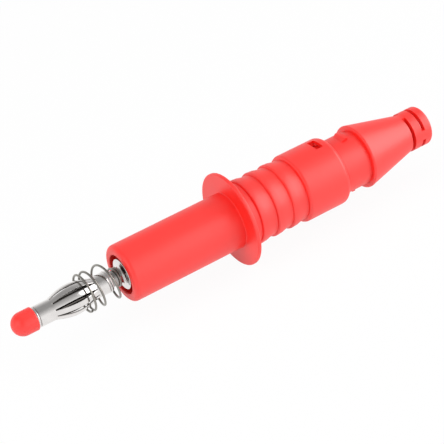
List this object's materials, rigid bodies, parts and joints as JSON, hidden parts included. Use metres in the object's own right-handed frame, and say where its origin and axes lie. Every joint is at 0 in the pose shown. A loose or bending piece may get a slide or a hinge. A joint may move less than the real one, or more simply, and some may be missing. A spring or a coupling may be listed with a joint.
{
  "type": "banana plug",
  "caption": "Banana plug: bulged spring contact with a capped nose, coil spring, moulded handle with finger guard and ribbed grip, and a push-on cable cone with a slotted tail.",
  "frame": {"origin": "centre of the barrel's mouth, where the face of a socket stops the plug", "axes": "X along the plug with the nose towards -X, +Z through one of the two snap windows"},
  "size_m": [0.0698, 0.0142, 0.0142],
  "materials": {
    "red_plastic": "satin moulded",
    "nickel_plate": "bright nickel plate on brass",
    "spring_wire": "drawn spring steel"
  },
  "bodies": {
    "plug_body": {"handle": "red_plastic", "contact_pin": "nickel_plate", "lantern_cage": "nickel_plate", "tip_cap": "red_plastic"},
    "cone_body": {"cable_cone": "red_plastic"},
    "spring_body": {"coil_spring": "spring_wire"}
  },
  "joints": [
    {"name": "cone_slide", "type": "slide", "parent": "plug_body", "child": "cone_body", "axis": [-1, 0, 0], "range_m": [-0.0065, 0.00435]},
    {"name": "spring_press", "type": "slide", "parent": "plug_body", "child": "spring_body", "axis": [1, 0, 0], "range_m": [0, 0.0035], "stiffness_N_per_m": 90, "deforming": ["coil_spring"]}
  ]
}
